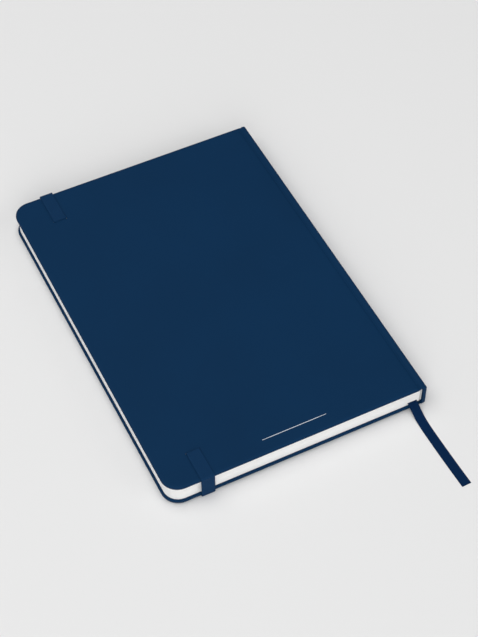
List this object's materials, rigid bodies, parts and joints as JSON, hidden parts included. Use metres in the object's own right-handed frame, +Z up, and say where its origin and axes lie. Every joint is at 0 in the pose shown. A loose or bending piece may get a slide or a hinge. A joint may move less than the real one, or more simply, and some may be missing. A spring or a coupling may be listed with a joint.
{
  "type": "pilot logbook",
  "caption": "Navy case-bound logbook with rounded fore-edge corners, sewn sections, an elastic closure and a ribbon marker.",
  "frame": {"origin": "middle of the closed book's base, as it lies on its front cover; the free ribbon is not counted", "axes": "+X from the fore-edge to the spine, +Y from the tail to the head, +Z up through the book from the front cover to the back cover"},
  "size_m": [0.148, 0.2675, 0.0153],
  "materials": {
    "leatherette": "matt soft-touch, very fine grain",
    "grey_board": "dense grey bookbinding board",
    "endpaper": "smooth heavy white paper",
    "page_paper": "smooth white paper, ruled in columns",
    "thread": "waxed twist",
    "mull_cloth": "open starched gauze",
    "lining_paper": "soft white lining paper",
    "elastic": "flat woven elastic",
    "ribbon": "satin with woven edges"
  },
  "bodies": {
    "book_block": {"section_01": "page_paper", "section_02": "page_paper", "section_03": "page_paper", "section_04": "page_paper", "section_05": "page_paper", "section_06": "page_paper", "section_07": "page_paper", "section_08": "page_paper", "sewing_thread": "thread", "mull": "mull_cloth", "spine_liner": "lining_paper", "spine_skin": "leatherette", "spine_board": "grey_board", "ribbon_inside": "ribbon", "ribbon_marker": "ribbon"},
    "front_cover": {"front_skin": "leatherette", "front_board": "grey_board", "front_pastedown": "endpaper"},
    "front_leaf": {"front_flyleaf": "endpaper"},
    "back_cover": {"back_skin": "leatherette", "back_board": "grey_board", "back_pastedown": "endpaper", "elastic_tab_tail": "elastic", "elastic_tab_head": "elastic"},
    "back_leaf": {"back_flyleaf": "endpaper"},
    "last_section": {"section_09": "page_paper"},
    "elastic": {"elastic_strap": "elastic"}
  },
  "joints": [
    {"name": "back_cover_hinge", "type": "hinge", "parent": "book_block", "child": "back_cover", "pos_m": [0.07205, 0, 0.0136], "axis": [0, 1, 0], "range_deg": [0, 183], "deforming": ["spine_skin", "elastic_strap"]},
    {"name": "back_leaf_turn", "type": "hinge", "parent": "book_block", "child": "back_leaf", "pos_m": [0.07205, 0, 0.0136], "axis": [0, 1, 0], "range_deg": [0, 180]},
    {"name": "last_section_turn", "type": "hinge", "parent": "book_block", "child": "last_section", "pos_m": [0.07205, 0, 0.0136], "axis": [0, 1, 0], "range_deg": [0, 176]},
    {"name": "front_cover_hinge", "type": "hinge", "parent": "book_block", "child": "front_cover", "pos_m": [0.07205, 0, 0.0015], "axis": [0, -1, 0], "range_deg": [0, 180], "deforming": ["spine_skin"]},
    {"name": "front_leaf_turn", "type": "hinge", "parent": "book_block", "child": "front_leaf", "pos_m": [0.07205, 0, 0.0015], "axis": [0, -1, 0], "range_deg": [0, 179]},
    {"name": "elastic_slide", "type": "slide", "parent": "back_cover", "child": "elastic", "axis": [-1, 0, 0], "range_m": [0, 0.034], "deforming": ["elastic_strap"]}
  ],
  "couplings": [
    {"joint": "back_leaf_turn", "follows": "back_cover_hinge", "ratio": 0.97},
    {"joint": "last_section_turn", "follows": "back_cover_hinge", "ratio": 0.94},
    {"joint": "front_leaf_turn", "follows": "front_cover_hinge", "ratio": 0.99}
  ]
}
